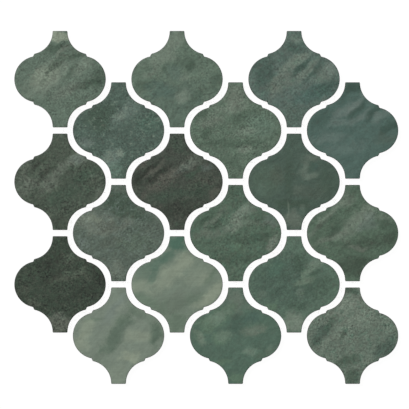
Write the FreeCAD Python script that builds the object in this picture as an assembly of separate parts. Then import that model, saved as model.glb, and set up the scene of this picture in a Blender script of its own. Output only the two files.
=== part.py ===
"""Arabesque mosaic tile: one mounted sheet of lantern tiles.

The sheet lies flat with its glazed faces up. Eighteen pressed porcelain lanterns stand in six
columns of three. Every second column is set half a tile lower, so the bulges of one column sit
in the hollows beside the necks of the next, and so do the tiles of the next sheet. A thin backing
mesh is glued under all of them and keeps the joints open until the sheet is laid.

Frame: the origin is the middle of the sheet at its underside, +X runs across the columns,
+Y up the columns and +Z out of the glazed faces. All sizes are in millimetres.
"""

import FreeCAD
import Part

import math
import os

# One tile, seen from above
TILE_WIDTH = 73.0  # across the two bulges
TILE_HEIGHT = 77.0  # between the two neck ends
TILE_THICKNESS = 6.0
NECK_WIDTH = 11.8  # each flat neck end, its cut corners included
NECK_CORNER = 0.4  # how far the corners of a neck end are cut back
BULGE_RADIUS = 18.45
HOLLOW_RADIUS = 18.15  # a little tighter, which makes the nose of the small step stand out
STEP_ANGLE = 11.0  # degrees by which bulge and hollow both stop short of their crown, at the small step

# How the tiles are set out on the sheet
NECK_JOINT = 4.9  # between two neck ends
SIDE_JOINT = 4.3  # between a bulge and the neck beside it
COLUMNS = 6
TILES_PER_COLUMN = 3

# The backing mesh, as the plain sheet that it was cut from
MESH_THICKNESS = 0.4
MESH_MARGIN = 2.5  # how far the cut edge of the mesh stays inside the neck ends

COLUMN_PITCH = TILE_WIDTH / 2 + SIDE_JOINT + NECK_WIDTH / 2
TILE_PITCH = TILE_HEIGHT + NECK_JOINT


def point(x, y, z=0.0):
    return FreeCAD.Vector(x, y, z)


def line(start, end):
    return Part.LineSegment(start, end).toShape()


def arc(start, middle, end):
    return Part.Arc(start, middle, end).toShape()


def on_bulge(degrees, side, end, grow):
    """A point of a bulge, so many degrees off its crown. side and end are 1 or -1."""
    turn = math.radians(degrees)
    radius = BULGE_RADIUS + grow
    x = TILE_WIDTH / 2 - BULGE_RADIUS + radius * math.sin(turn)
    return point(side * x, end * radius * math.cos(turn))


def in_hollow(degrees, side, end, grow):
    """A point of a hollow, so many degrees off its lowest point, towards the neck."""
    turn = math.radians(degrees)
    radius = HOLLOW_RADIUS - grow
    x = NECK_WIDTH / 2 + HOLLOW_RADIUS - radius * math.sin(turn)
    y = TILE_HEIGHT / 2 - NECK_CORNER - radius * math.cos(turn)
    return point(side * x, end * y)


def neck_end(side, end, grow):
    return point(side * (NECK_WIDTH / 2 - NECK_CORNER + grow), end * (TILE_HEIGHT / 2 + grow))


def lantern_face(grow=0.0):
    """One tile from above, about its own centre, or a shape that is larger by grow all round."""
    edges = []
    for side in (1, -1):
        bulge_start = on_bulge(STEP_ANGLE, side, -1, grow)
        bulge_end = on_bulge(STEP_ANGLE, side, 1, grow)
        edges.append(arc(bulge_start, on_bulge(90, side, 1, grow), bulge_end))
        for end in (1, -1):
            step_root = on_bulge(STEP_ANGLE, side, end, grow)
            step_tip = in_hollow(STEP_ANGLE, side, end, grow)
            throat = in_hollow(90, side, end, grow)
            edges.append(line(step_root, step_tip))
            edges.append(arc(step_tip, in_hollow(45, side, end, grow), throat))
            edges.append(line(throat, neck_end(side, end, grow)))
    for end in (1, -1):
        edges.append(line(neck_end(-1, end, grow), neck_end(1, end, grow)))
    return Part.Face(Part.Wire(Part.__sortEdges__(edges)))


def tile():
    """One tile about its own centre, its back on z = 0."""
    return lantern_face().extrude(point(0, 0, TILE_THICKNESS))


def tile_centre(column, place):
    """Column 0 is on the left, and place 0 is at the top of its column."""
    rows_down = 2 * place + column % 2
    middle_row = TILES_PER_COLUMN - 0.5
    return point((column - (COLUMNS - 1) / 2) * COLUMN_PITCH, (middle_row - rows_down) * TILE_PITCH / 2)


def sheet_places():
    return [(column, place) for column in range(COLUMNS) for place in range(TILES_PER_COLUMN)]


def backing_mesh():
    """One thin sheet under all tiles, cut back from where the tiles of the next sheets will lie."""
    width = (COLUMNS - 1) * COLUMN_PITCH + TILE_WIDTH
    height = (TILES_PER_COLUMN - 0.5) * TILE_PITCH + TILE_HEIGHT
    blank = Part.makeBox(width, height, MESH_THICKNESS, point(-width / 2, -height / 2))
    bite = lantern_face(NECK_JOINT + MESH_MARGIN).extrude(point(0, 0, MESH_THICKNESS))
    bites = []
    for column in range(-1, COLUMNS + 1):
        for place in range(-1, TILES_PER_COLUMN + 1):
            if (column, place) not in sheet_places():
                bites.append(bite.translated(tile_centre(column, place)))
    return blank.cut(bites).Solids[0]


def tile_name(column, place):
    """Rows are counted down the sheet and columns across it, both from 1."""
    row = 2 * place + column % 2 + 1
    return f"tile_row{row}_column{column + 1}"


def main():
    os.makedirs("parts", exist_ok=True)
    mesh = backing_mesh()
    mesh.exportStep("parts/backing_mesh.step")
    lantern = tile()
    on_mesh = point(0, 0, MESH_THICKNESS)
    for column, place in sheet_places():
        placed = lantern.translated(tile_centre(column, place) + on_mesh)
        placed.exportStep(f"parts/{tile_name(column, place)}.step")
    print("one tile", round(lantern.Volume, 1), "mm3,", "mesh", round(mesh.Volume, 1), "mm3")
    print("sheet", round((COLUMNS - 1) * COLUMN_PITCH + TILE_WIDTH, 2), "mm wide")


main()
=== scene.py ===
# %% [markdown]
# # A lantern mosaic sheet, dressed for its portrait
#
# The CAD part is eighteen plain lantern tiles on a thin backing sheet. This lesson gives each tile a
# rounded, slightly uneven glazed face and its own clouded green glaze, weaves the backing mesh, and
# lights the sheet the way a tile maker photographs samples: flat, from straight above, on white.
# Sizes are written in millimetres and turned into metres when a mesh is made.

import math

import bmesh
import bpy
from mathutils import Matrix, Vector, noise
from mathutils.bvhtree import BVHTree


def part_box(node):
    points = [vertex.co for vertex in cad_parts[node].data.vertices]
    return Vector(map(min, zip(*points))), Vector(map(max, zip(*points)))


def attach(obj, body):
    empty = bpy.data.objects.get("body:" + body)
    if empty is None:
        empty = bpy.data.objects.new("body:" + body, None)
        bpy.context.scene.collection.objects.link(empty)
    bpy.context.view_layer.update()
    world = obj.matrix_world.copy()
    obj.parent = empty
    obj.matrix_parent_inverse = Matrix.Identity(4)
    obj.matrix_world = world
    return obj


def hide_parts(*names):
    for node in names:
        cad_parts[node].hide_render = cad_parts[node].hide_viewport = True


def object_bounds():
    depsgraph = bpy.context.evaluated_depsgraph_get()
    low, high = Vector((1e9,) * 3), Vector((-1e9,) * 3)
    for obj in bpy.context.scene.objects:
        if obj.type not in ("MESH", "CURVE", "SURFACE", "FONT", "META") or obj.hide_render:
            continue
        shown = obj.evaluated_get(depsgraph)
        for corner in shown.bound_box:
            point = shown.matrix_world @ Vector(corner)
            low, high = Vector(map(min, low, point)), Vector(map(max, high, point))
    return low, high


MM = 0.001  # metres

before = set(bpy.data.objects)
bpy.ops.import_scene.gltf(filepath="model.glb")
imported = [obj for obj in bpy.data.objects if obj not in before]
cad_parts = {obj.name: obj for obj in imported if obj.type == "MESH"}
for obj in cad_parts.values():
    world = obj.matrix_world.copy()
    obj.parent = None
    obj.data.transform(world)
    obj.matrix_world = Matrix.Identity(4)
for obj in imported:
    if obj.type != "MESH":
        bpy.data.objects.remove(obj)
cad_low, cad_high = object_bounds()
tile_nodes = sorted(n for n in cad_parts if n.startswith("tile_"))
print("tiles:", len(tile_nodes), "sheet in mm:", [round(v / MM, 1) for v in cad_high - cad_low])

# %% [markdown]
# ## The studio
# Samples are shot on a pale table that glows a little itself, so that the joints between the tiles
# stay as white as the ground around them. A shaded floor alone would turn every joint grey, because
# a joint is narrower than it is deep. The table here is one large plane with a soft glow.

# %% A glowing table
TABLE_SIZE = 8.0  # metres
TABLE_GLOW = 0.96
TABLE_SHADE = 0.06
TABLE_ROUGHNESS = 0.9

table_bm = bmesh.new()
bmesh.ops.create_grid(table_bm, x_segments=1, y_segments=1, size=TABLE_SIZE / 2)
table_mesh = bpy.data.meshes.new("table_top")
table_bm.to_mesh(table_mesh)
table_bm.free()
table = bpy.data.objects.new("table_top", table_mesh)
bpy.context.scene.collection.objects.link(table)

table_finish = bpy.data.materials.new("pale table")
table_finish.use_nodes = True
table_shader = table_finish.node_tree.nodes["Principled BSDF"]
table_shader.inputs["Base Color"].default_value = (TABLE_SHADE, TABLE_SHADE, TABLE_SHADE, 1)
table_shader.inputs["Roughness"].default_value = TABLE_ROUGHNESS
table_shader.inputs["Specular IOR Level"].default_value = 0.0
table_shader.inputs["Emission Color"].default_value = (1, 1, 1, 1)
table_shader.inputs["Emission Strength"].default_value = TABLE_GLOW
table_mesh.materials.append(table_finish)
print("table", TABLE_SIZE, "m square with a glow of", TABLE_GLOW)

# %% [markdown]
# The light is a white tent, which is the world itself, and one large soft lamp above and to the
# upper left. The lamp makes the rounded edges that face away from it read as a thin dark line.
# Colours are looked at plainly, with no film curve, since the glazes are mixed as they should look.

# %% Tent and lamp
TENT_STRENGTH = 0.42
LAMP_STRENGTH = 2.4
LAMP_LEAN = 38  # degrees from straight above
LAMP_FROM = 135  # degrees, the upper left corner of the picture
LAMP_SOFTNESS = 30

scene = bpy.context.scene
scene.view_settings.view_transform = "Standard"

tent = bpy.data.worlds.new("white tent")
tent.use_nodes = True
tent.node_tree.nodes["Background"].inputs["Color"].default_value = (1, 1, 1, 1)
tent.node_tree.nodes["Background"].inputs["Strength"].default_value = TENT_STRENGTH
scene.world = tent

lamp_data = bpy.data.lights.new("soft lamp", "SUN")
lamp_data.energy = LAMP_STRENGTH
lamp_data.angle = math.radians(LAMP_SOFTNESS)
lamp = bpy.data.objects.new("soft lamp", lamp_data)
scene.collection.objects.link(lamp)
sideways = Matrix.Rotation(math.radians(LAMP_FROM), 3, "Z") @ Vector((1, 0, 0))
to_lamp = sideways * math.tan(math.radians(LAMP_LEAN))
to_lamp.z = 1
lamp.rotation_mode = "QUATERNION"
lamp.rotation_quaternion = to_lamp.to_track_quat("Z", "Y")
print("the lamp stands towards", [round(v, 2) for v in to_lamp])

# %% [markdown]
# The camera hangs straight above. A long lens from far away sees the tiles without their sides, as
# the picture does, and still works when the camera walks round the sheet.

# %% Camera
PICTURE_WIDTH = 326.4  # of the plane of the glazed faces, in mm
SHEET_RIGHT_OF_CENTRE = 1.44  # where the middle of the sheet lies in the picture, in mm
SHEET_BELOW_CENTRE = 2.34
LENS = 600
SENSOR = 36
FARTHEST_SEEN = 20  # metres

camera_data = bpy.data.cameras.new("overhead camera")
camera_data.lens = LENS
camera_data.sensor_width = SENSOR
camera = bpy.data.objects.new("overhead camera", camera_data)
scene.collection.objects.link(camera)
camera_height = cad_high.z + PICTURE_WIDTH * MM * LENS / SENSOR
camera.location = (-SHEET_RIGHT_OF_CENTRE * MM, SHEET_BELOW_CENTRE * MM, camera_height)
camera_data.clip_end = FARTHEST_SEEN
scene.camera = camera
print("camera", round(camera_height, 3), "m above the table")

# %% [markdown]
# ## The shape of one tile
# A tile is pressed from clay powder, fired and glazed. Its outline could be traced with a free curve,
# but a die maker strikes it with compasses, and so does this lesson: one bulge, one small step, one
# hollow and half a neck make a quarter, and mirroring gives the rest. The sizes match the CAD
# outline, so the new tile lies exactly on its node.

# %% Sizes of the outline
TILE_WIDTH = 73.0
TILE_HEIGHT = 77.0
TILE_THICKNESS = 6.0
NECK_WIDTH = 11.8
NECK_CORNER = 0.4
BULGE_RADIUS = 18.45
HOLLOW_RADIUS = 18.15
STEP_ANGLE = 11.0  # degrees from the crown of the bulge and of the hollow

NECK_ROUNDING = 0.7
TIP_ROUNDING = 0.5
ROOT_ROUNDING = 0.15
RIM_ROUNDING = 0.48

node_low, node_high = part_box(tile_nodes[0])
node_size = [round(v / MM, 2) for v in node_high - node_low]
print("CAD tile in mm:", node_size, "drawn:", TILE_WIDTH, TILE_HEIGHT)

# %% Where the arcs are struck and where the step stands
STEP_TURN = math.radians(STEP_ANGLE)
BULGE_X = TILE_WIDTH / 2 - BULGE_RADIUS
HOLLOW_X = NECK_WIDTH / 2 + HOLLOW_RADIUS
HOLLOW_Y = TILE_HEIGHT / 2 - NECK_CORNER
STEP_ROOT = (BULGE_X + BULGE_RADIUS * math.sin(STEP_TURN), BULGE_RADIUS * math.cos(STEP_TURN))
STEP_TIP = (HOLLOW_X - HOLLOW_RADIUS * math.sin(STEP_TURN), HOLLOW_Y - HOLLOW_RADIUS * math.cos(STEP_TURN))
print("the step runs from", [round(v, 2) for v in STEP_ROOT], "to", [round(v, 2) for v in STEP_TIP])


# %% A sweep that returns its last point
def sweep(bm, start, centre, degrees, steps):
    """Turns a vertex about an upright axis, leaves the arc's edges, and returns the last vertex."""
    swept = bmesh.ops.spin(
        bm, geom=[start], cent=centre, axis=(0, 0, 1), dvec=(0, 0, 0),
        angle=math.radians(degrees), steps=steps, use_merge=False, use_normal_flip=False,
    )
    return next(g for g in swept["geom_last"] if isinstance(g, bmesh.types.BMVert))


def draw_to(bm, start, x, y):
    """Draws a straight edge from a vertex to a place, and returns the vertex there."""
    end = bmesh.ops.extrude_vert_indiv(bm, verts=[start])["verts"][0]
    end.co = Vector((x, y, 0))
    return end


# %% A quarter of the outline, mirrored twice
ARC_STEPS = 14
NECK_STEPS = 4
ON_THE_SEAM = 1e-4  # mm, nearer than this counts as on a seam or a cut
SAME_PLACE = 1e-3  # mm


def lantern_outline(bm):
    """Draws the closed outline in millimetres and fills it. Returns the face."""
    sweep_angle = 90 - STEP_ANGLE
    vertex = bm.verts.new((TILE_WIDTH / 2, 0, 0))
    vertex = sweep(bm, vertex, (BULGE_X, 0, 0), sweep_angle, ARC_STEPS)
    vertex = draw_to(bm, vertex, *STEP_TIP)
    neck_share = math.degrees(math.asin((NECK_ROUNDING - NECK_CORNER) / HOLLOW_RADIUS))
    vertex = sweep(bm, vertex, (HOLLOW_X, HOLLOW_Y, 0), -(sweep_angle - neck_share), ARC_STEPS)
    corner = (vertex.co.x - NECK_ROUNDING, TILE_HEIGHT / 2 - NECK_ROUNDING, 0)
    vertex = sweep(bm, vertex, corner, 90, NECK_STEPS)
    draw_to(bm, vertex, 0, TILE_HEIGHT / 2)

    for axis in ("X", "Y"):
        everything = bm.verts[:] + bm.edges[:]
        bmesh.ops.mirror(bm, geom=everything, matrix=Matrix.Identity(4), merge_dist=ON_THE_SEAM, axis=axis)
    bmesh.ops.remove_doubles(bm, verts=bm.verts[:], dist=SAME_PLACE)
    return bmesh.ops.contextual_create(bm, geom=bm.edges[:])["faces"][0]


trial = bmesh.new()
print("the outline has", len(lantern_outline(trial).verts), "points")
trial.free()


# %% [markdown]
# The outline is pulled up to the thickness of the tile. Upright corners at the steps are rounded
# first, then the rim of the glazed face, so that the rim follows the rounded corners. Last, the body
# is sliced into small cells, because a glazed face is never quite flat and the slices give it points
# to move. Subdividing the one large top face instead would leave long thin triangles.

# %% The pressed tile
CELL = 3.0  # mm between slices
HAIR = 0.02  # mm by which the drawn tile stays inside the CAD outline
NEAR = 0.01  # mm, how closely an edge has to meet a place to be found there


def upright_edges(bm, x, y):
    """The upright edges that stand on this place of the outline, in all four quarters."""
    found = []
    for edge in bm.edges:
        a, b = (v.co for v in edge.verts)
        if abs(a.z - b.z) > TILE_THICKNESS / 2 and abs(abs(a.x) - x) < NEAR and abs(abs(a.y) - y) < NEAR:
            found.append(edge)
    return found


def bevel(bm, edges, width, segments):
    bmesh.ops.bevel(
        bm, geom=edges, offset=width, offset_type="OFFSET", segments=segments, profile=0.5,
        affect="EDGES", material=-1, clamp_overlap=False,
    )


def slice_up(bm, axis, reach):
    """Cuts straight through the tile at every cell, across one axis."""
    across = Vector((0, 0, 0))
    across[axis] = 1
    cuts = int(reach / CELL)
    for cut in range(-cuts, cuts + 1):
        everything = bm.verts[:] + bm.edges[:] + bm.faces[:]
        where = across * cut * CELL
        bmesh.ops.bisect_plane(bm, geom=everything, dist=ON_THE_SEAM, plane_co=where, plane_no=across)


def pressed_tile():
    """One tile about its own centre in millimetres, its back on z = 0."""
    bm = bmesh.new()
    face = lantern_outline(bm)
    raised = bmesh.ops.extrude_face_region(bm, geom=[face])["geom"]
    top_verts = [g for g in raised if isinstance(g, bmesh.types.BMVert)]
    bmesh.ops.translate(bm, verts=top_verts, vec=(0, 0, TILE_THICKNESS))
    bmesh.ops.recalc_face_normals(bm, faces=bm.faces[:])

    bevel(bm, upright_edges(bm, *STEP_ROOT), ROOT_ROUNDING, segments=2)
    bevel(bm, upright_edges(bm, *STEP_TIP), TIP_ROUNDING, segments=3)
    rim = [e for e in bm.edges if all(v.co.z > TILE_THICKNESS - NEAR for v in e.verts)]
    bevel(bm, rim, RIM_ROUNDING, segments=4)

    slice_up(bm, 0, TILE_WIDTH / 2)
    slice_up(bm, 1, TILE_HEIGHT / 2)
    trim = (1 - HAIR / (TILE_WIDTH / 2), 1 - HAIR / (TILE_HEIGHT / 2), 1)
    bmesh.ops.scale(bm, verts=bm.verts[:], vec=trim)
    bmesh.ops.recalc_face_normals(bm, faces=bm.faces[:])
    return bm


master = pressed_tile()
print("tile triangles:", len(master.calc_loop_triangles()))
print("open edges:", sum(not e.is_manifold for e in master.edges))

# %% [markdown]
# ## Eighteen tiles in place
# All tiles leave the same die, but each one dries and fires a little differently. Every copy gets
# its own low swell of up to a tenth of a millimetre, which only shows in the sheen when the sheet is
# seen from the side. The rim droops a little further, as thick glaze does where it runs off an edge.
# Each point also notes how far the rim has turned down there, which the glaze reads later to paint a dark
# shade along the rim.

# %% Set out and swell each tile
SWELL = 0.10  # mm, how far a hollow of the glazed face lies below its highest places
SWELL_SIZE = 14.0  # mm, from one high place to the next
SWELL_SEED = 7.3  # from tile to tile, so that no two swell alike
EDGE_DROOP = 0.08  # mm, at the tips of the bulges and necks
CREASE = 35  # degrees, a sharper edge than this stays crisp


def swell(x, y, seed):
    wave = noise.noise(Vector((x / SWELL_SIZE, y / SWELL_SIZE, seed)))
    out = math.hypot(x / (TILE_WIDTH / 2), y / (TILE_HEIGHT / 2))
    return -SWELL * (0.5 + 0.5 * wave) - EDGE_DROOP * min(out, 1.0) ** 3


def rim_turn(z):
    """0 on the face, 1 on the side and in between how far the rim has turned down at this height."""
    drop = min(max(TILE_THICKNESS - z, 0), RIM_ROUNDING)
    return math.acos(1 - drop / RIM_ROUNDING) / (math.pi / 2)


def place_tile(node, seed):
    low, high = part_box(node)
    middle = (low + high) / 2
    bm = master.copy()
    rim = bm.verts.layers.float.new("rim")
    for vertex in bm.verts:
        vertex[rim] = rim_turn(vertex.co.z)
        lift = max(0.0, vertex.co.z / TILE_THICKNESS - 0.5) * 2
        vertex.co.z += lift * swell(vertex.co.x, vertex.co.y, seed)
    bmesh.ops.scale(bm, verts=bm.verts[:], vec=(MM, MM, MM))
    bmesh.ops.translate(bm, verts=bm.verts[:], vec=(middle.x, middle.y, low.z))
    for face in bm.faces:
        face.smooth = True
    for edge in bm.edges:
        edge.smooth = edge.calc_face_angle(0) < math.radians(CREASE)
    mesh = bpy.data.meshes.new(f"glazed_{node}")
    bm.to_mesh(mesh)
    bm.free()
    piece = bpy.data.objects.new(f"glazed_{node}", mesh)
    scene.collection.objects.link(piece)
    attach(piece, "root")
    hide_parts(node)
    return piece


tile_pieces = {node: place_tile(node, seed * SWELL_SEED) for seed, node in enumerate(tile_nodes)}
print("placed", len(tile_pieces), "tiles")

# %% [markdown]
# ## Glaze
# Each tile gets a thin base glaze, then a few washes of other glazes, brushed on from lower left to
# upper right while the base is wet. The washes spread and their edges break up in the kiln. Fine
# grain and a few iron specks come up last. A painted picture would fix all this to one size, so the
# glaze is made of patterns, which stay sharp from close by.
#
# A glaze is a long sum of patterns, so the nodes are made by a small class that lets the sum be
# written with ordinary signs.

# %% Values with ordinary arithmetic
class Reading:
    """A value that varies over the tile: the output of a node, with ordinary arithmetic."""

    def __init__(self, recipe, socket):
        self.recipe = recipe
        self.socket = socket

    def _with(self, operation, first, second):
        made = self.recipe.node("ShaderNodeMath", {"operation": operation}, {0: first, 1: second})
        return self.recipe.read(made, "Value")

    def __add__(self, other):
        return self._with("ADD", self, other)

    def __radd__(self, other):
        return self._with("ADD", other, self)

    def __sub__(self, other):
        return self._with("SUBTRACT", self, other)

    def __rsub__(self, other):
        return self._with("SUBTRACT", other, self)

    def __mul__(self, other):
        return self._with("MULTIPLY", self, other)

    def __rmul__(self, other):
        return self._with("MULTIPLY", other, self)


# %% [markdown]
# The recipe is the node tree of one material. One method makes any node, and the others are the few
# patterns and mixtures that a glaze needs. A noise texture mostly stays near a half, so its clouds
# are stretched until they run from about -1 to 1.

# %% The recipe of one glaze
STRETCH = 5  # of a noise about its middle
SHEEN_LEVEL = 0.3  # how much of the tent a glaze mirrors


class Recipe:
    """The node tree of one material."""

    def __init__(self, name):
        self.material = bpy.data.materials.new(name)
        self.material.use_nodes = True
        self.tree = self.material.node_tree
        self.shader = self.tree.nodes["Principled BSDF"]

    def node(self, kind, settings, inputs):
        """Makes a node, first its settings and then its sockets, by name or by number."""
        made = self.tree.nodes.new(kind)
        for name, value in settings.items():
            setattr(made, name, value)
        for name, value in inputs.items():
            self.feed(made.inputs[name], value)
        return made

    def feed(self, socket, value):
        if isinstance(value, Reading):
            self.tree.links.new(value.socket, socket)
        else:
            socket.default_value = value

    def read(self, made, output):
        return Reading(self, made.outputs[output])

    def place(self, centre):
        """Millimetres from the centre of the tile's back, whatever the tile."""
        spot = self.read(self.node("ShaderNodeTexCoord", {}, {}), "Object")
        inputs = {"Vector": spot, "Location": [-c / MM for c in centre], "Scale": [1 / MM] * 3}
        return self.read(self.node("ShaderNodeMapping", {}, inputs), "Vector")

    def height(self, place):
        return self.read(self.node("ShaderNodeSeparateXYZ", {}, {"Vector": place}), "Z")

    def turned(self, place, centre, degrees, lengths):
        """The place as seen from a spot, along a direction, counted in these lengths."""
        settings = {"vector_type": "TEXTURE"}
        inputs = {"Vector": place, "Location": (*centre, 0), "Rotation": (0, 0, math.radians(degrees))}
        inputs["Scale"] = lengths
        return self.read(self.node("ShaderNodeMapping", settings, inputs), "Vector")

    def length(self, place):
        made = self.node("ShaderNodeVectorMath", {"operation": "LENGTH"}, {0: place})
        return self.read(made, "Value")

    def shifted(self, place, shift):
        made = self.node("ShaderNodeVectorMath", {"operation": "ADD"}, {0: place, 1: shift})
        return self.read(made, "Vector")

    def clouds(self, place, size, detail=2.0, rough=0.5):
        """Soft random patches of about this size, mostly between -1 and 1."""
        settings = {"noise_dimensions": "3D"}
        inputs = {"Vector": place, "Scale": 1 / size, "Detail": detail, "Roughness": rough}
        made = self.node("ShaderNodeTexNoise", settings, inputs)
        return (self.read(made, "Fac") - 0.5) * STRETCH

    def drift(self, place, field, size, reach):
        """The place, pushed about by up to this reach in slow random waves."""
        made = self.node("ShaderNodeTexNoise", {}, {"Vector": field, "Scale": 1 / size, "Detail": 1.0})
        centred = self.shifted(self.read(made, "Color"), (-0.5, -0.5, -0.5))
        settings = {"operation": "MULTIPLY_ADD"}
        inputs = {0: centred, 1: (STRETCH * reach, STRETCH * reach, 0), 2: place}
        return self.read(self.node("ShaderNodeVectorMath", settings, inputs), "Vector")

    def ramp(self, value, start, end, to_start=0.0, to_end=1.0):
        """A smooth change from one value to another while the input runs from start to end."""
        settings = {"interpolation_type": "SMOOTHSTEP"}
        inputs = {"Value": value, 1: start, 2: end, 3: to_start, 4: to_end}
        return self.read(self.node("ShaderNodeMapRange", settings, inputs), "Result")

    def blend(self, share, first, second):
        """A share of the second colour over the first."""
        settings = {"data_type": "RGBA", "blend_type": "MIX"}
        inputs = {"Factor": share, 6: first, 7: second}
        return Reading(self, self.node("ShaderNodeMix", settings, inputs).outputs[2])

    def shaded(self, colour, strength):
        """The colour, made lighter or darker by a plain factor."""
        made = self.node("ShaderNodeVectorMath", {"operation": "SCALE"}, {0: colour, "Scale": strength})
        return self.read(made, "Vector")

    def finish(self, colour, roughness, relief, depth):
        """Feeds the shader. Depth is the height of the relief in millimetres."""
        self.shader.inputs["Specular IOR Level"].default_value = SHEEN_LEVEL
        self.feed(self.shader.inputs["Base Color"], colour)
        self.feed(self.shader.inputs["Roughness"], roughness)
        bump = self.node("ShaderNodeBump", {}, {"Height": relief, "Distance": depth * MM})
        self.feed(self.shader.inputs["Normal"], self.read(bump, "Normal"))
        return self.material


# %% [markdown]
# ## Tones
# Fifteen glaze tones are listed. They are noted as they should look on the lit sheet. The
# tent adds a little white sheen to every glaze, so that much is taken off before a tone is used.

# %% Glaze tones
LIT = 1.02  # brightness of a white card lying in this light
SHEEN = 0.021  # white light that the glaze mirrors from the tent
DARKEST = 0.004  # no glaze is blacker than this


def linear(level):
    """Brightness of a screen level from 0 to 255, by the usual screen curve."""
    level = level / 255
    return level / 12.92 if level <= 0.04045 else ((level + 0.055) / 1.055) ** 2.4


def tone(red, green, blue):
    return tuple(max(DARKEST, (linear(level) - SHEEN) / LIT) for level in (red, green, blue)) + (1,)


TONES = {
    "bone": tone(140, 150, 132),
    "sage": tone(120, 132, 119),
    "dew": tone(105, 129, 116),
    "mist": tone(112, 124, 118),
    "ash": tone(107, 116, 105),
    "haze": tone(84, 101, 93),
    "fern": tone(90, 108, 92),
    "leaf": tone(94, 116, 97),
    "sea": tone(78, 106, 92),
    "teal": tone(72, 97, 91),
    "deep": tone(62, 80, 72),
    "pine": tone(66, 82, 70),
    "umber": tone(79, 85, 75),
    "clay": tone(94, 94, 86),
    "soot": tone(50, 55, 49),
}
print("jars on the shelf:", len(TONES))

# %% [markdown]
# ## The washes of each tile
# No two tiles are alike, so each tile has its own card. A card names the base glaze and how strong
# its grain is, and then lists the washes in the order they are brushed on: the tone, where its
# middle lies (across, up), how long and how wide it is in mm, the direction of the brush in degrees
# and how strongly it covers what lies below. Base glazes are stirred from two tones, as a potter
# stretches a small shelf of jars to many greens. Washes thrown at random would be quicker to write,
# but the sheet would lose its mix of pale, dark and clouded tiles.

# %% Cards of the top row
CARDS = {}


def mixed(first, second, share):
    """A glaze stirred from two of the tones, with this share of the second one."""
    return tuple(a * (1 - share) + b * share for a, b in zip(TONES[first], TONES[second]))


def card(base, grain, flecks, lines, *washes):
    """Base mix, strength of the grain, tone of the fine flecks, strength of level brush lines, washes."""
    return {"base": mixed(*base), "grain": grain, "flecks": flecks, "lines": lines, "washes": washes}


CARDS["tile_row1_column1"] = card(
    ("mist", "fern", 0.7), 0.8, "umber", 0.0,
    ("pine", -5, 25, 22, 8, 5, 0.55),
    ("pine", 8, 17.5, 26, 6, 28, 0.65),
    ("ash", 2, 21.5, 18, 4, 38, 0.6),
    ("bone", 0, 34.3, 24, 7, -6, 1.0),
    ("sage", 0, 34, 18, 5, 0, 0.35),
    ("sage", -9, 4, 42, 18, 38, 0.6),
    ("bone", -13, 2, 34, 16, 35, 0.28),
    ("sage", 16, 10, 20, 10, 38, 0.45),
    ("pine", -2, 15, 22, 5, 38, 0.4),
    ("pine", 8, 6, 22, 5, 42, 0.35),
    ("pine", -14, -2, 10, 4, 40, 0.3),
    ("sage", -12, -7, 34, 12, 25, 0.35),
    ("pine", -3, 9.5, 24, 5, 37, 0.5),
    ("pine", 23, -4, 26, 8, 18, 0.6),
    ("pine", 32, 0, 12, 20, 0, 0.5),
    ("ash", 6, -9, 30, 9, 30, 0.45),
)
CARDS["tile_row1_column3"] = card(
    ("fern", "mist", 0.2), 0.7, "haze", 0.0,
    ("haze", 0, -20, 56, 36, 0, 0.3),
    ("sage", -1, 31, 16, 18, 0, 0.45),
    ("sage", -12, 19, 30, 14, 25, 0.45),
    ("pine", 4, 13, 26, 6, 10, 0.3),
    ("pine", -27, -5, 16, 9, 10, 0.45),
    ("teal", -14, -9, 26, 13, 0, 0.3),
    ("sage", 7, 2, 14, 8, 12, 0.4),
    ("sage", -20, 6, 18, 7, 20, 0.3),
    ("sage", 4.5, -14, 15, 9, 15, 0.5),
    ("pine", 17, -13, 18, 9, 35, 0.35),
    ("haze", -3, 6, 14, 14, 0, 0.4),
    ("pine", 31, -2, 10, 18, 0, 0.3),
    ("pine", 11.5, 11, 6, 5, 0, 0.55),
    ("pine", -11, 7, 6, 5, 30, 0.5),
)
CARDS["tile_row1_column5"] = card(
    ("haze", "mist", 0.2), 0.8, "sea", 0.0,
    ("deep", -24, 7, 20, 34, 8, 0.5),
    ("deep", 0, 25, 18, 10, 0, 0.45),
    ("sage", -1, 12, 34, 8, 38, 0.45),
    ("sage", 4, 16, 16, 6, 42, 0.2),
    ("ash", -8, -1, 30, 12, 30, 0.4),
    ("sage", 11, 8, 26, 6, 44, 0.4),
    ("deep", 4.5, 9, 25, 5, 44, 0.65),
    ("deep", 16.5, 7, 24, 4, 46, 0.55),
    ("sage", 25, 4, 20, 13, 35, 0.35),
    ("mist", 29, 8, 12, 10, 50, 0.3),
    ("ash", -15, -10, 14, 10, 20, 0.4),
    ("teal", 18, -10, 38, 12, 20, 0.55),
    ("deep", 24, -7, 28, 8, 25, 0.4),
    ("sage", 1, 33, 10, 8, 30, 0.3),
    ("pine", -1, -28, 16, 18, 0, 0.25),
)
print("cards written:", len(CARDS))

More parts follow.
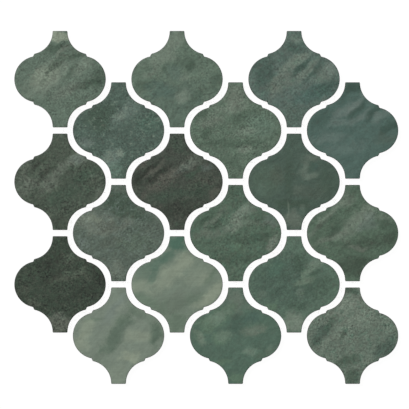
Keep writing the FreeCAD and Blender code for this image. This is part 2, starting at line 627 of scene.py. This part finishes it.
# %% Cards of the second row
CARDS["tile_row2_column2"] = card(
    ("haze", "pine", 0.3), 1.0, "sage", 0.0,
    ("pine", -14, 11, 28, 24, 30, 0.6),
    ("dew", 6, 14, 30, 13, 48, 0.25),
    ("mist", 5, 14, 28, 12, 45, 0.3),
    ("sage", 3, 12, 10, 8, 30, 0.3),
    ("sea", 24, 6, 22, 16, 20, 0.3),
    ("mist", -26, -10, 12, 7, 10, 0.4),
    ("dew", -6, -23, 24, 14, 40, 0.3),
    ("mist", -6, -23, 22, 13, 40, 0.35),
    ("sage", -8, -22, 10, 6, 30, 0.3),
    ("sage", 1, -18, 6, 6, 0, 0.5),
    ("dew", -4, -32, 14, 14, 0, 0.4),
)
CARDS["tile_row2_column4"] = card(
    ("fern", "mist", 0.15), 1.0, "pine", 0.0,
    ("ash", -1, 27, 16, 22, 0, 0.6),
    ("sage", -4, 18, 34, 10, 12, 0.35),
    ("ash", -20, 7, 22, 9, 10, 0.5),
    ("pine", 8, 12, 28, 8, 12, 0.4),
    ("pine", -23, -1, 9, 10, 0, 0.5),
    ("pine", -28, 14, 14, 8, 40, 0.4),
    ("dew", 21, 4, 24, 20, 10, 0.25),
    ("sage", 9, 0, 24, 7, 5, 0.4),
    ("pine", 0, -11, 50, 7, 0, 0.4),
    ("sage", 7, -16, 12, 8, 0, 0.5),
    ("pine", -6, -26, 16, 10, 0, 0.3),
)
CARDS["tile_row2_column6"] = card(
    ("ash", "teal", 0.8), 0.25, "teal", 0.5,
    ("deep", 0, 34, 18, 12, 0, 0.75),
    ("deep", -25, 10, 26, 14, 30, 0.4),
    ("mist", -8, 14, 26, 9, 35, 0.4),
    ("deep", -9, 27, 12, 4, 35, 0.3),
    ("mist", 2, 21, 24, 6, 50, 0.4),
    ("mist", 9, 13, 14, 4, 45, 0.3),
    ("deep", 3.5, 17, 21, 5.5, 47, 0.6),
    ("deep", 15.5, 12.5, 20, 7, 45, 0.55),
    ("mist", 22.5, 10.5, 15, 8, 30, 0.4),
    ("deep", 31, 4, 24, 6.5, 33, 0.65),
    ("mist", -20, -6, 34, 8, 5, 0.25),
    ("mist", -3, 7, 34, 6, 15, 0.3),
    ("mist", -6, -15, 40, 12, 12, 0.15),
    ("deep", -8, 25, 12, 6, 40, 0.35),
    ("umber", 26, -7, 20, 10, 0, 0.25),
)
print("cards written:", len(CARDS))

# %% Cards of the third row
CARDS["tile_row3_column1"] = card(
    ("pine", "clay", 0.32), 1.3, "pine", 0.0,
    ("ash", 0, 9, 44, 8, 42, 0.5),
    ("ash", 14, 18, 16, 9, 25, 0.35),
    ("ash", -24, -3, 26, 11, 35, 0.4),
    ("ash", -10, -4, 20, 5, 30, 0.3),
    ("soot", -19, 14, 26, 5, 38, 0.35),
    ("soot", -11, 8, 18, 4, 42, 0.5),
    ("pine", 20, 5, 24, 12, 30, 0.6),
    ("pine", 10, 11, 10, 5, 30, 0.4),
    ("pine", 4, -10, 36, 14, 20, 0.5),
    ("soot", -1, -32, 14, 14, 0, 0.3),
    ("ash", 31, -9, 8, 14, -30, 0.4),
    ("ash", 26, 6, 8, 4, 20, 0.3),
    ("soot", -15, 1, 12, 4, 40, 0.35),
    ("ash", -29, 3, 12, 12, 0, 0.3),
    ("mist", 14, 19, 11, 7, 30, 0.3),
    ("ash", -27, 13, 10, 8, 40, 0.3),
)
CARDS["tile_row3_column3"] = card(
    ("ash", "soot", 0.75), 1.2, "pine", 0.0,
    ("clay", -29, 14, 20, 5, 45, 0.5),
    ("soot", -23, 8.5, 26, 5.5, 42, 0.7),
    ("clay", -18, 9, 20, 4.5, 40, 0.4),
    ("soot", -13, 6.5, 26, 5.5, 42, 0.65),
    ("clay", -5, 4, 38, 10, 38, 0.5),
    ("teal", 4, 10, 20, 6, 40, 0.25),
    ("clay", -22, -6, 26, 7, 40, 0.3),
    ("ash", 10, 15, 20, 9, 25, 0.45),
    ("mist", 23, 12, 8, 7, 40, 0.3),
    ("pine", 13, 7, 18, 6, 33, 0.6),
    ("umber", 18, 0, 26, 8, 20, 0.4),
    ("pine", 8, -9, 46, 12, 10, 0.5),
    ("pine", -16, -12, 22, 10, 20, 0.35),
    ("soot", 0, -22, 40, 18, 10, 0.4),
    ("clay", 30, -10, 8, 14, -30, 0.35),
    ("soot", -31, 2, 10, 12, 0, 0.4),
    ("pine", 0, 30, 14, 14, 0, 0.4),
)
CARDS["tile_row3_column5"] = card(
    ("haze", "pine", 0.5), 0.35, "umber", 0.4,
    ("fern", -22, 1, 26, 28, 0, 0.3),
    ("umber", 14, -8, 30, 14, 0, 0.25),
    ("sage", 12.5, 6, 18, 6, 12, 0.35),
    ("umber", -14, 5, 14, 14, 0, 0.3),
    ("ash", 14, 19, 18, 7, 10, 0.35),
    ("sage", 7, 10, 15, 5, 48, 0.3),
    ("teal", 15, 12, 9, 5, 0, 0.3),
    ("pine", 13, 12, 8, 5, 30, 0.35),
    ("pine", -4, 4, 8, 40, 0, 0.4),
    ("pine", 0, -18, 36, 9, 0, 0.6),
    ("pine", 26, 0, 12, 26, 0, 0.3),
    ("ash", -1, -30, 16, 15, 0, 0.5),
    ("sage", 6.5, -21.5, 5, 4, 0, 0.18),
    ("dew", -27, -6, 10, 8, 0, 0.12),
    ("sage", 4, -6, 9, 4, 30, 0.13),
    ("sage", -5, -22, 1.5, 16, 0, 0.3),
)
print("cards written:", len(CARDS))

# %% Cards of the fourth row
CARDS["tile_row4_column2"] = card(
    ("ash", "deep", 0.5), 0.9, "mist", 0.0,
    ("pine", 0, 26, 38, 14, -14, 0.7),
    ("pine", 3, 17, 34, 9, -20, 0.65),
    ("pine", 20, 14, 20, 8, -30, 0.4),
    ("ash", -20, 6, 38, 14, -12, 0.7),
    ("sage", -24, 12, 22, 6, -10, 0.35),
    ("ash", -17, 14, 24, 5, -14, 0.5),
    ("bone", -22, 12.5, 24, 7, -12, 0.25),
    ("umber", -5, 5, 14, 8, 0, 0.3),
    ("ash", 6, 8, 16, 8, 50, 0.65),
    ("pine", 13, 1, 10, 6, 0, 0.3),
    ("pine", 10, 13, 8, 6, 0, 0.5),
    ("umber", -8, -8, 18, 6, 25, 0.3),
    ("mist", -29, -8, 8, 8, 0, 0.3),
    ("ash", -3, -29, 16, 18, 0, 0.45),
    ("fern", 12, -8, 30, 14, 0, 0.3),
)
CARDS["tile_row4_column4"] = card(
    ("fern", "deep", 0.3), 0.9, "sea", 0.0,
    ("pine", 0, 33, 14, 10, 0, 0.4),
    ("sage", 2, 12, 32, 10, 50, 0.55),
    ("sage", 11, 19, 16, 7, 10, 0.3),
    ("ash", -17, 12, 28, 6, 46, 0.4),
    ("ash", -20, -1, 28, 8, 8, 0.4),
    ("pine", -23, 11, 18, 4.5, 45, 0.6),
    ("pine", -13, 8, 16, 4.5, 52, 0.55),
    ("pine", 23, 9, 20, 8, 5, 0.45),
    ("ash", 22, 8, 20, 4, 0, 0.3),
    ("mist", 28, 10, 12, 8, 0, 0.3),
    ("ash", 30, -8, 8, 18, -25, 0.65),
    ("sage", 29, -9, 6, 12, -25, 0.3),
    ("pine", 13, -4, 34, 9, 8, 0.5),
    ("sage", 8, 9, 14, 6, 20, 0.25),
    ("leaf", 3, -12, 12, 7, 0, 0.4),
    ("pine", 0, -20, 30, 14, 0, 0.3),
)
CARDS["tile_row4_column6"] = card(
    ("fern", "deep", 0.25), 0.6, "pine", 0.0,
    ("sage", -14, 19, 32, 6, 30, 0.4),
    ("ash", -4, 28, 12, 12, 30, 0.4),
    ("sage", -25, 8, 28, 5, 42, 0.42),
    ("ash", -17, -3, 36, 7, 28, 0.5),
    ("sage", 9, 14, 28, 13, 38, 0.42),
    ("sage", 0, 6, 36, 13, 45, 0.35),
    ("mist", 12, 6, 18, 10, 10, 0.3),
    ("mist", 14, 13, 12, 8, 0, 0.3),
    ("sage", 25, 12, 12, 6, -20, 0.35),
    ("pine", 26, 6, 14, 9, 0, 0.35),
    ("pine", -14, 2, 15, 6, 45, 0.6),
    ("soot", -27, 5, 12, 5, 35, 0.4),
    ("pine", -18, 12, 16, 5, 40, 0.5),
    ("soot", 12, -9, 44, 9, 8, 0.3),
    ("ash", 4, -12, 14, 4, 10, 0.5),
    ("soot", 0, -26, 36, 16, 0, 0.4),
    ("soot", 30, -2, 14, 8, 30, 0.3),
)
print("cards written:", len(CARDS))

# %% Cards of the fifth row
CARDS["tile_row5_column1"] = card(
    ("fern", "soot", 0.78), 1.6, "pine", 0.0,
    ("umber", 9, 21, 24, 10, 20, 0.5),
    ("umber", 5, 7, 34, 8, 18, 0.55),
    ("fern", 11, 10, 18, 6, 15, 0.2),
    ("fern", 9, 22, 16, 7, 20, 0.25),
    ("soot", 14, 13, 14, 3, 30, 0.4),
    ("umber", -29, -4, 14, 8, 25, 0.35),
    ("ash", -1, -31, 20, 18, 0, 0.5),
    ("clay", -2, -33, 16, 14, 0, 0.4),
    ("soot", 31, 5, 12, 20, 0, 0.5),
    ("soot", -6, 17, 26, 8, 20, 0.5),
    ("soot", -5, 5, 24, 6, 30, 0.4),
    ("umber", -22, -14, 14, 6, -30, 0.5),
    ("soot", 18, -7, 34, 6, 20, 0.4),
    ("umber", 21, 5, 12, 8, 0, 0.3),
)
CARDS["tile_row5_column3"] = card(
    ("sage", "fern", 0.3), 0.0, "sage", 0.7,
    ("sea", 0, 34, 20, 16, 0, 0.9),
    ("sea", -13, 18, 28, 12, 42, 0.3),
    ("sea", -6, 23.5, 16, 8, 35, 0.45),
    ("bone", -3, 10, 48, 15, 42, 0.5),
    ("bone", -23, 11, 18, 5, 48, 0.15),
    ("bone", 5, 18, 20, 10, 40, 0.3),
    ("bone", -31, -1, 18, 14, 10, 0.45),
    ("sea", -15, 17, 16, 8, 40, 0.2),
    ("sea", -23, 12, 26, 10, 45, 0.3),
    ("sea", -19.5, 6, 17, 5, 55, 0.4),
    ("bone", 17, 8, 28, 14, 20, 0.25),
    ("bone", 20, 4, 14, 8, 42, 0.25),
    ("fern", 28, 9, 24, 6, 48, 0.45),
    ("fern", 2, -15, 46, 12, 15, 0.4),
    ("ash", 0, -14, 20, 14, 60, 0.3),
    ("bone", 28, -7, 28, 9, 48, 0.65),
    ("bone", 18, -14, 20, 8, 40, 0.35),
    ("leaf", -26, -12, 20, 9, -20, 0.35),
    ("fern", 0, -31, 16, 18, 0, 0.5),
)
CARDS["tile_row5_column5"] = card(
    ("haze", "leaf", 0.45), 0.6, "leaf", 0.0,
    ("deep", -8, 2, 60, 50, 0, 0.38),
    ("sea", -15, 12, 16, 10, 60, 0.4),
    ("pine", 21, -2, 26, 22, 30, 0.35),
    ("pine", 3, 17, 15, 14, 55, 0.5),
    ("leaf", 10, 10, 16, 6, 58, 0.4),
    ("sage", 10.5, 11, 18, 5, 58, 0.27),
    ("sage", 17, 17.5, 16, 7, 10, 0.35),
    ("leaf", 9, 3.5, 18, 7, 20, 0.5),
    ("sage", 9, 3.5, 16, 6, 20, 0.3),
    ("pine", 17, 11, 9, 5, 20, 0.4),
    ("sage", 0, -31, 18, 16, 0, 0.65),
    ("pine", 2, -18, 16, 7, 0, 0.35),
    ("leaf", -18.5, -17, 8, 6, 0, 0.6),
    ("sage", -27, -7, 8, 8, 0, 0.2),
    ("sage", 5, -6.5, 7, 4, 30, 0.25),
)
print("cards written:", len(CARDS))

# %% Cards of the bottom row
CARDS["tile_row6_column2"] = card(
    ("sage", "deep", 0.05), 0.05, "sage", 0.6,
    ("mist", -3, 22, 34, 12, 55, 0.4),
    ("fern", -2, 1, 46, 13, 54, 0.5),
    ("deep", -1, 1, 34, 11, 53, 0.25),
    ("fern", 5, 13, 16, 6, 30, 0.3),
    ("fern", 17, 19, 24, 7, -35, 0.35),
    ("fern", 30, 2, 12, 18, 0, 0.6),
    ("deep", 30, 1, 10, 14, 0, 0.25),
    ("fern", -21, 13, 14, 4, 5, 0.4),
    ("bone", -26, 5, 18, 12, 75, 0.45),
    ("bone", -30, -6, 14, 12, 60, 0.5),
    ("bone", 14.5, 0, 25, 11, 8, 0.42),
    ("bone", 9, -17.5, 17, 9, 5, 0.7),
    ("bone", 1, 22, 12, 5, 55, 0.25),
    ("bone", -1, -31, 18, 16, 0, 0.15),
)
CARDS["tile_row6_column4"] = card(
    ("sea", "clay", 0.25), 0.3, "sea", 0.3,
    ("ash", 0, 27, 18, 24, 0, 0.5),
    ("leaf", -14, 15, 32, 13, 30, 0.7),
    ("dew", -16, 14, 26, 9, 25, 0.25),
    ("sage", -16, 14, 25, 9, 25, 0.3),
    ("leaf", -12, -1, 16, 11, 10, 0.7),
    ("dew", -10, 0, 14, 9, 10, 0.2),
    ("sage", -10, 0, 13, 9, 10, 0.2),
    ("leaf", -24, 9, 14, 14, 0, 0.45),
    ("leaf", -29, -2, 14, 9, 120, 0.5),
    ("sage", -28.5, -3, 14, 7, 120, 0.4),
    ("deep", 2, 8, 20, 11, 70, 0.35),
    ("teal", 14, 14, 16, 6, 8, 0.3),
    ("leaf", 16, 5, 24, 10, 12, 0.35),
    ("ash", 15, 4.5, 22, 9, 10, 0.5),
    ("leaf", 11, -12, 15, 8, 12, 0.4),
    ("dew", 10.5, -12, 15, 9, 10, 0.3),
    ("sage", 10.5, -12.5, 14, 8, 10, 0.25),
    ("leaf", -11, -21, 14, 4, 0, 0.5),
    ("ash", 12, 22, 10, 6, 0, 0.3),
    ("sage", 28, -12, 10, 6, 40, 0.2),
    ("leaf", 2, -35, 14, 9, 0, 0.6),
    ("fern", 22, -15, 18, 6, 20, 0.3),
)
CARDS["tile_row6_column6"] = card(
    ("ash", "sea", 0.25), 1.15, "sea", 0.0,
    ("pine", -3, 36, 14, 8, 0, 0.7),
    ("ash", -3, 25, 28, 12, 30, 0.5),
    ("sage", -6, 22, 26, 9, 38, 0.55),
    ("deep", -25, 1.5, 22, 9, 48, 0.5),
    ("pine", -17.5, 9.5, 18, 7, 48, 0.45),
    ("ash", -21, 13, 16, 6, 40, 0.4),
    ("sage", -14, 0, 34, 8, 42, 0.25),
    ("pine", -6.5, 3, 3.5, 11, -15, 0.5),
    ("pine", -4, -19, 18, 8, 10, 0.6),
    ("pine", -1, -32, 14, 14, 0, 0.6),
    ("pine", -29, -5, 10, 8, 0, 0.2),
    ("sage", 8, 16, 30, 16, 35, 0.35),
    ("deep", 26, -11, 26, 14, 40, 0.5),
)
print("cards written:", len(CARDS))
print("washes on the sheet:", sum(len(entry["washes"]) for entry in CARDS.values()))

# %% [markdown]
# ## Brushing and firing
# This is the recipe that every card goes through. A wash starts as a soft oval. Slow random waves
# push it about and finer clouds break up its edge, so that no wash keeps the clean shape that it was
# noted down with. Ovals with hard edges would look stamped on, not brushed.

# %% Brush the washes on
BRUSH_ANGLE = 40  # degrees, from lower left to upper right
THICKNESS = 1.15  # of all washes, against what the cards say
FAR = 1000  # mm, so long that no stroke changes with height
FLOW_SIZE = 12.0  # mm, of the slow waves that push the washes about
FLOW_REACH = 1.8  # mm, how far they push
RAGGED_SIZE = 5.5  # mm, of the clouds that break up the edge of a wash
RAGGED_REACH = 0.38  # in half lengths of the wash
WASH_RIM = 1.35  # half lengths from its middle, where a wash begins to cover
WASH_CORE = 0.45  # and where it covers fully
SEED_START = (11, 5, 0)  # mm, where the first tile reads its patterns
SEED_STEP = (57.3, 23.9, 3.1)  # mm, so far apart that no two tiles share a pattern


def pattern_place(recipe, place, seed):
    """Each tile reads the random patterns at a spot of its own."""
    return recipe.shifted(place, [step * seed + start for step, start in zip(SEED_STEP, SEED_START)])


def brushed_colour(recipe, place, field, entry):
    """The base glaze with all its washes."""
    loose = recipe.drift(place, field, FLOW_SIZE, FLOW_REACH)
    ragged = recipe.clouds(field, RAGGED_SIZE, detail=5.0, rough=0.75) * RAGGED_REACH
    colour = entry["base"]
    for name, x, y, long, wide, degrees, strength in entry["washes"]:
        lengths = (long / 2, wide / 2, FAR)
        distance = recipe.length(recipe.turned(loose, (x, y), degrees, lengths)) + ragged
        cover = min(strength * THICKNESS, 1.0)
        share = recipe.ramp(distance, WASH_RIM, WASH_CORE, 0.0, cover)
        colour = recipe.blend(share, colour, TONES[name])
    return colour


print("brush at", BRUSH_ANGLE, "degrees, washes", THICKNESS, "times as thick as on the cards")

# %% [markdown]
# Close up, the colour of a glaze isn't even within a wash. Where it is thin, flecks of another tone
# come through, and here and there a browner one where the clay shows. A gritty glaze has many
# flecks, and a smooth one has few. Every wash could have flecks of its own, but one layer over all
# of them looks much the same and needs far fewer nodes.

# %% Flecks of other tones
FLECK_SIZE = 3.6  # mm
FLECK_FULL = 1.1  # how far the clouds have to rise for a fleck to be whole
FLECKS_ALWAYS = 0.15  # strength of the flecks in a smooth glaze
FLECKS_WITH_GRAIN = 0.55  # and what a gritty one adds
CLAY_FLECKS = 0.6  # strength against the flecks of the card's own tone


def flecked_colour(recipe, field, entry, colour):
    """The washed glaze with flecks of the card's tone and of clay."""
    tinge = recipe.clouds(field, FLECK_SIZE, detail=5.0, rough=0.75)
    share = FLECKS_ALWAYS + FLECKS_WITH_GRAIN * min(entry["grain"], 1.0)
    flecks = recipe.ramp(tinge, 0.0, FLECK_FULL, 0.0, share)
    colour = recipe.blend(flecks, colour, TONES[entry["flecks"]])
    clay_flecks = recipe.ramp(tinge, 0.0, -FLECK_FULL, 0.0, share * CLAY_FLECKS)
    return recipe.blend(clay_flecks, colour, TONES["clay"])


# %% [markdown]
# The brush leaves long streaks and short mottle. Both follow a direction that wanders a little, since
# a hand doesn't draw with a ruler. Grain comes in patches, and doesn't follow the brush.

# %% Marks of the brush
WANDER_SIZE = 8.0  # mm
WANDER_REACH = 1.6  # mm
LONG_STROKE = (13, 4.5, FAR)  # mm along and across the brush
SHORT_STROKE = (3.0, 1.7, FAR)
GRAIN_SIZE = 1.4  # mm
GRAIN_PATCH = 14.0  # mm
PATCH_EDGE = 0.6  # of the clouds that place the patches
BETWEEN_PATCHES = 0.6  # strength of the grain
IN_PATCHES = 1.3


def brush_marks(recipe, field):
    """Streaks, mottle and grain, each mostly between -1 and 1."""
    wandering = recipe.drift(field, field, WANDER_SIZE, WANDER_REACH)
    streak = recipe.clouds(recipe.turned(wandering, (0, 0), BRUSH_ANGLE, LONG_STROKE), 1.0)
    mottle = recipe.clouds(recipe.turned(wandering, (0, 0), BRUSH_ANGLE, SHORT_STROKE), 1.0)
    clusters = recipe.clouds(field, GRAIN_PATCH)
    patches = recipe.ramp(clusters, -PATCH_EDGE, PATCH_EDGE, BETWEEN_PATCHES, IN_PATCHES)
    grain = recipe.clouds(field, GRAIN_SIZE, detail=1.0) * patches
    return streak, mottle, grain


# %% [markdown]
# The marks, broad blotches, fine level brush lines and dark iron specks only make the colour lighter
# or darker, so they are summed to one plain factor. A painted shade along the rim is multiplied in as
# well: a dark line where the face turns down, which fades again on the side. Each is a share of the
# light, and a card says how much of the grain and of the level lines its own tile has.

# %% How light or dark each spot is
STREAKS = 0.12
CALMER = 0.5  # by how much level lines calm the streaks
MOTTLE = 0.18
MOTTLE_ALWAYS = 0.3
MOTTLE_WITH_GRAIN = 0.7
GRAIN = 0.27
LINES = 0.06
BLOTCHES = 0.1
SPECKS = 0.3
LEVEL_STROKE = (22, 0.9, FAR)  # mm along and across a level brush line
BLOTCH_SIZE = 4.5  # mm
SPECK_SIZE = 1.5  # mm
SPECK_EDGE = (0.75, 1.3)  # only the tops of the clouds are specks
SPECK_PATCH = 9.0  # mm
SPECK_PATCH_EDGE = (0.0, 0.8)
# Painted shade along the rim: a dark line where the face turns down, mostly taken off again on the side.
RIM_PAINTED_SHADE = 0.88
RIM_SHADE_SPAN = (0.0, 0.5)  # where the painted shade comes in, on the way from the face to the side
SIDE_SHADE_FADE = 0.66  # how much of that painted shade is taken off again on the side
SIDE_SHADE_FADE_SPAN = (0.85, 1.0)


def glaze_marks_and_rim_shade(recipe, field, entry, streak, mottle, grain):
    """The factor by which each spot is lighter or darker than its colour: the glaze's own marks, and a
    painted shade along the rim.
    """
    lines = recipe.clouds(recipe.turned(field, (0, 0), 0, LEVEL_STROKE), 1.0, detail=1.0)
    blotch = recipe.clouds(field, BLOTCH_SIZE, detail=3.0, rough=0.6)
    cluster = recipe.ramp(recipe.clouds(field, SPECK_PATCH), *SPECK_PATCH_EDGE)
    speck = recipe.ramp(recipe.clouds(field, SPECK_SIZE, detail=0.0), *SPECK_EDGE)
    speck = speck * cluster * SPECKS * entry["grain"]

    calm = 1 - CALMER * entry["lines"]
    strength = streak * STREAKS * calm
    strength = strength + mottle * MOTTLE * (MOTTLE_ALWAYS + MOTTLE_WITH_GRAIN * entry["grain"])
    strength = strength + grain * GRAIN * entry["grain"]
    strength = strength + lines * LINES * entry["lines"]
    strength = strength + blotch * BLOTCHES * min(entry["grain"], 1.0)

    rim = recipe.read(recipe.node("ShaderNodeAttribute", {"attribute_name": "rim"}, {}), "Fac")
    # painted shade: darker where the rim turns down, less dark again on the side
    painted_rim_shade = recipe.ramp(rim, *RIM_SHADE_SPAN) * RIM_PAINTED_SHADE - recipe.ramp(rim, *SIDE_SHADE_FADE_SPAN) * SIDE_SHADE_FADE
    return (1 + strength - speck) * (1 - painted_rim_shade)


# %% [markdown]
# Glaze doesn't reach the back of a tile. It stops in a wavy line on the sides, and below it the pale
# fired clay is bare and dull. The marks of the brush also stand up a little from the face, by less
# than the thickness of a hair, so they are left to the bump of the shader.

# %% Glaze one tile
GLAZE_LINE = 3.4  # mm above the back, where the glaze stops on the sides
GLAZE_LINE_SOFT = 0.15  # mm
GLAZE_LINE_WAVE = 0.3  # mm up and down
WAVE_SIZE = 6.0  # mm
BARE_CLAY = tone(214, 208, 196)
CLAY_ROUGHNESS = 0.85
GLAZE_SMOOTHER = 0.38  # by how much glaze is less rough than clay
STREAK_ROUGHER = 0.05
RELIEF = (0.5, 0.3, 0.2)  # shares of the streaks, the mottle and the grain
RELIEF_DEPTH = 0.04  # mm


def glaze(node, seed, entry):
    """The finish of one tile, from its card."""
    recipe = Recipe(f"{node} glaze")
    low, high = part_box(node)
    place = recipe.place(((low.x + high.x) / 2, (low.y + high.y) / 2, low.z))
    field = pattern_place(recipe, place, seed)
    streak, mottle, grain = brush_marks(recipe, field)

    colour = brushed_colour(recipe, place, field, entry)
    colour = flecked_colour(recipe, field, entry, colour)
    colour = recipe.shaded(colour, glaze_marks_and_rim_shade(recipe, field, entry, streak, mottle, grain))

    edge = recipe.height(place) + recipe.clouds(field, WAVE_SIZE) * GLAZE_LINE_WAVE
    glazed = recipe.ramp(edge, GLAZE_LINE - GLAZE_LINE_SOFT, GLAZE_LINE + GLAZE_LINE_SOFT)
    colour = recipe.blend(glazed, BARE_CLAY, colour)
    roughness = CLAY_ROUGHNESS - glazed * (GLAZE_SMOOTHER - streak * STREAK_ROUGHER)
    relief = RELIEF[0] * streak + RELIEF[1] * mottle + RELIEF[2] * grain
    return recipe.finish(colour, roughness, relief, RELIEF_DEPTH)


for seed, (node, piece) in enumerate(tile_pieces.items()):
    piece.data.materials.append(glaze(node, seed, CARDS[node]))
counts = [len(piece.data.materials[0].node_tree.nodes) for piece in tile_pieces.values()]
print("glazed", len(tile_pieces), "tiles with", min(counts), "to", max(counts), "nodes each")

# %% [markdown]
# ## The backing mesh
# The backing is a loose open weave of white glass yarn. Every yarn goes over one crossing and under
# the next. From afar a sheet with a see-through pattern would do, but its holes would be gone in any
# exported mesh. A glass yarn is a flat bundle, so each one is drawn as a long flattened tube, and
# each is cut where it meets the cut edge of the CAD mesh sheet.

# %% Where a yarn may lie
YARN_PITCH = 6.0  # mm, like the sizes below
YARN_WIDTH = 0.5
YARN_THICKNESS = 0.17
SHORTEST_YARN = 3.0
EDGE_GAP = 0.3  # mm between the end of a yarn and the cut edge
STEP_ON = 1e-5  # metres past one crossing, from where the next is looked for

mesh_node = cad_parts["backing_mesh"]
mesh_low, mesh_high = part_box("backing_mesh")
mesh_tree = BVHTree.FromPolygons(
    [tuple(v.co) for v in mesh_node.data.vertices], [tuple(p.vertices) for p in mesh_node.data.polygons]
)
mesh_middle = (mesh_low.z + mesh_high.z) / 2


def inside_runs(across, along_x):
    """Where a straight line runs inside the CAD mesh sheet, as pairs of start and end in metres."""
    if along_x:
        heading = Vector((1, 0, 0))
        start = Vector((mesh_low.x - 1, across, mesh_middle))
    else:
        heading = Vector((0, 1, 0))
        start = Vector((across, mesh_low.y - 1, mesh_middle))
    crossings = []
    while True:
        hit = mesh_tree.ray_cast(start, heading)[0]
        if hit is None:
            break
        crossings.append(hit.dot(heading))
        start = hit + heading * STEP_ON
    return list(zip(crossings[0::2], crossings[1::2]))


def yarn_runs(across, along_x):
    """The runs along which the full width of a yarn fits, shortened a little at both ends."""
    half = YARN_WIDTH * MM / 2 + EDGE_GAP * MM
    runs = inside_runs(across, along_x)
    for side in (-half, half):
        others = inside_runs(across + side, along_x)
        runs = [(max(a, c), min(b, d)) for a, b in runs for c, d in others if max(a, c) < min(b, d)]
    gap = EDGE_GAP * MM
    return [(a + gap, b - gap) for a, b in runs if b - a > SHORTEST_YARN * MM]


middle_runs = yarn_runs(0.0, True)
print("a yarn through the middle runs for", round(sum(b - a for a, b in middle_runs) / MM, 1), "mm")

# %% One yarn
YARN_SIDES = 6
STEPS_PER_PITCH = 4
YARN_CLEARANCE = 0.005  # mm to the faces of the CAD mesh sheet


def add_yarn(bm, start, end, across, line, along_x):
    """A flat tube from start to end that goes over and under, all in metres."""
    pitch = YARN_PITCH * MM
    steps = max(2, round((end - start) / pitch * STEPS_PER_PITCH))
    grid = bmesh.ops.create_grid(bm, x_segments=steps, y_segments=YARN_SIDES, size=1)["verts"]
    ride_height = (mesh_high.z - mesh_low.z - YARN_THICKNESS * MM) / 2 - YARN_CLEARANCE * MM
    over = 1 if (line % 2 == 0) == along_x else -1
    for vertex in grid:
        along = start + (vertex.co.x + 1) / 2 * (end - start)
        turn = (vertex.co.y + 1) * math.pi
        side = across + math.cos(turn) * YARN_WIDTH * MM / 2
        wave = over * math.cos(math.pi * along / pitch)
        up = mesh_middle + wave * ride_height + math.sin(turn) * YARN_THICKNESS * MM / 2
        vertex.co = Vector((along, side, up)) if along_x else Vector((side, along, up))


trial = bmesh.new()
add_yarn(trial, 0, YARN_PITCH * MM, 0, 0, True)
print("a yarn has", len(trial.faces), "faces from one crossing to the next")
trial.free()


# %% All yarns that run one way
SAME_POINT = 1e-6  # metres


def weave(name, along_x):
    """All yarns that run one way, as one piece."""
    low, high = (mesh_low.y, mesh_high.y) if along_x else (mesh_low.x, mesh_high.x)
    reach = int(max(-low, high) / (YARN_PITCH * MM))
    bm = bmesh.new()
    count = 0
    for line in range(-reach, reach + 1):
        across = line * YARN_PITCH * MM
        for start, end in yarn_runs(across, along_x):
            add_yarn(bm, start, end, across, line, along_x)
            count += 1
    bmesh.ops.remove_doubles(bm, verts=bm.verts[:], dist=SAME_POINT)
    ends = [e for e in bm.edges if e.is_boundary]
    bmesh.ops.holes_fill(bm, edges=ends, sides=YARN_SIDES)
    bmesh.ops.recalc_face_normals(bm, faces=bm.faces[:])
    for face in bm.faces:
        face.smooth = len(face.verts) == 4
    mesh = bpy.data.meshes.new(name)
    bm.to_mesh(mesh)
    triangles = sum(len(f.verts) - 2 for f in bm.faces)
    loose = sum(not e.is_manifold for e in bm.edges)
    bm.free()
    piece = bpy.data.objects.new(name, mesh)
    scene.collection.objects.link(piece)
    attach(piece, "root")
    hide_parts("backing_mesh")
    print(name, count, "yarns", triangles, "triangles", loose, "open edges")
    return piece


# %% Weave both ways
level_yarns = weave("mesh_yarns_level", True)
upright_yarns = weave("mesh_yarns_upright", False)

# %% [markdown]
# Glass yarn is white and lets light through, so the mesh takes on a little of the light of the
# table. It also has a painted glow of its own, so that it shows no shade and hardly shows in the joints.
# It is a plain white finish with that painted glow, mixed with a translucent one.

# %% Glass yarn
YARN_WHITE = 0.96
YARN_PAINTED_GLOW = 1.0  # strength of the painted glow of its own, which lifts the yarn's shade in the joints
YARN_ROUGHNESS = 0.6
YARN_TRANSLUCENT = 0.9  # share of the translucent finish
STRAND_SIZE = 0.35  # mm
STRAND_SHADE = 0.02
STRAND_ROUGHER = 0.05
STRAND_DEPTH = 0.02  # mm

yarn_recipe = Recipe("white glass yarn")
yarn_spot = yarn_recipe.place((0, 0, 0))
strands = yarn_recipe.clouds(yarn_spot, STRAND_SIZE)
yarn_colour = yarn_recipe.shaded((YARN_WHITE, YARN_WHITE, YARN_WHITE), 1 + strands * STRAND_SHADE)
yarn_roughness = YARN_ROUGHNESS + strands * STRAND_ROUGHER
yarn_finish = yarn_recipe.finish(yarn_colour, yarn_roughness, strands, STRAND_DEPTH)
# Painted glow: the yarn gives off light of its own, though it is no lamp.
yarn_recipe.shader.inputs["Emission Color"].default_value = (1, 1, 1, 1)
yarn_recipe.shader.inputs["Emission Strength"].default_value = YARN_PAINTED_GLOW

through_light = {"Color": (YARN_WHITE, YARN_WHITE, YARN_WHITE, 1)}
yarn_glass = yarn_recipe.node("ShaderNodeBsdfTranslucent", {}, through_light)
yarn_mix = yarn_recipe.node("ShaderNodeMixShader", {}, {"Fac": YARN_TRANSLUCENT})
yarn_output = yarn_recipe.tree.nodes["Material Output"]
yarn_recipe.tree.links.new(yarn_recipe.shader.outputs["BSDF"], yarn_mix.inputs[1])
yarn_recipe.tree.links.new(yarn_glass.outputs["BSDF"], yarn_mix.inputs[2])
yarn_recipe.tree.links.new(yarn_mix.outputs["Shader"], yarn_output.inputs["Surface"])
for piece in (level_yarns, upright_yarns):
    piece.data.materials.append(yarn_finish)
print("yarns share the finish", yarn_finish.name)
